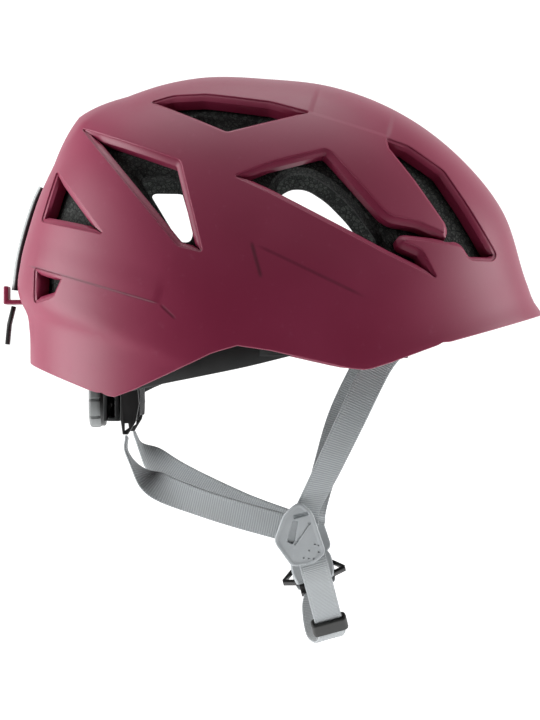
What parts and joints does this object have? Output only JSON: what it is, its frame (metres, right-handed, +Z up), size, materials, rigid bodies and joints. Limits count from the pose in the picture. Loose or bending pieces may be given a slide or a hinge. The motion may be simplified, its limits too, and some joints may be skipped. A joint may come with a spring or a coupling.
{
  "type": "climbing helmet",
  "caption": "Climbing helmet with a vented hard shell over a foam liner, an adjustable headband with a nape dial, and a webbing chin strap with dividers and a buckle.",
  "frame": {"origin": "middle of the head inside the headband, at the height of the ear notch in the rim", "axes": "+X forwards to the brim, +Y to the wearer's left, +Z up to the crown"},
  "size_m": [0.2944, 0.215, 0.3108],
  "materials": {
    "shell": "matt raspberry ABS, fine moulded grain",
    "foam": "charcoal expanded bead foam with paler beads",
    "dark_plastic": "dark grey nylon",
    "black_plastic": "black acetal",
    "dial_grey": "mid grey soft-touch plastic on a black core",
    "divider_grey": "pale grey acetal",
    "padding": "black knitted pad cover",
    "webbing": "grey woven polyester webbing",
    "keeper_rubber": "black rubber",
    "elastic": "silver grey braided elastic cord"
  },
  "bodies": {
    "root": {"shell": "shell", "foam_liner": "foam", "headband_front": "dark_plastic", "brow_pad": "padding", "crown_pad_front": "padding", "crown_pad_rear": "padding", "band_peg_front_right": "black_plastic", "band_peg_front_left": "black_plastic", "band_peg_side_right": "black_plastic", "band_peg_side_left": "black_plastic", "height_bracket": "dark_plastic", "strap_anchor_right": "dark_plastic", "strap_anchor_left": "dark_plastic", "front_strap_right": "webbing", "front_strap_left": "webbing", "rear_strap_right": "webbing", "rear_strap_left": "webbing", "strap_divider_right": "divider_grey", "strap_divider_left": "divider_grey", "chin_strap": "webbing", "buckle_strap": "webbing", "buckle_socket": "divider_grey"},
    "nape_adjuster": {"adjuster_housing": "dark_plastic", "adjuster_cover": "dark_plastic", "nape_cradle": "black_plastic", "nape_pad": "padding"},
    "dial": {"dial_knob": "dial_grey", "pinion": "black_plastic"},
    "arm_right": {"headband_arm_right": "dark_plastic"},
    "arm_left": {"headband_arm_left": "dark_plastic"},
    "buckle_plug": {"buckle_plug": "black_plastic"},
    "keeper": {"keeper": "keeper_rubber"},
    "headlamp_loop": {"headlamp_loop": "elastic", "pull_tab": "black_plastic"}
  },
  "joints": [
    {"name": "nape_height", "type": "slide", "parent": "root", "child": "nape_adjuster", "axis": [0, 0, 1], "range_m": [0, 0.016], "deforming": ["rear_strap_right", "rear_strap_left"]},
    {"name": "dial_spin", "type": "hinge", "parent": "nape_adjuster", "child": "dial", "pos_m": [-0.098, 0, -0.027], "axis": [-1, 0, 0], "range_deg": [0, 170]},
    {"name": "arm_right_slide", "type": "slide", "parent": "nape_adjuster", "child": "arm_right", "axis": [0, 1, 0], "range_m": [0, 0.015]},
    {"name": "arm_left_slide", "type": "slide", "parent": "nape_adjuster", "child": "arm_left", "axis": [0, -1, 0], "range_m": [0, 0.015]},
    {"name": "buckle_release", "type": "slide", "parent": "root", "child": "buckle_plug", "axis": [0.1702, -0.6609, -0.731], "range_m": [0, 0.018], "deforming": ["chin_strap"]},
    {"name": "keeper_slide", "type": "slide", "parent": "root", "child": "keeper", "axis": [-0.1638, -0.7574, 0.6321], "range_m": [0, 0.016]},
    {"name": "loop_swing", "type": "hinge", "parent": "root", "child": "headlamp_loop", "pos_m": [-0.1349, 0, 0.09], "axis": [0, 1, 0], "range_deg": [0, 75]}
  ],
  "couplings": [
    {"joint": "arm_right_slide", "follows": "dial_spin", "m_per_rad": 0.005},
    {"joint": "arm_left_slide", "follows": "dial_spin", "m_per_rad": 0.005}
  ]
}
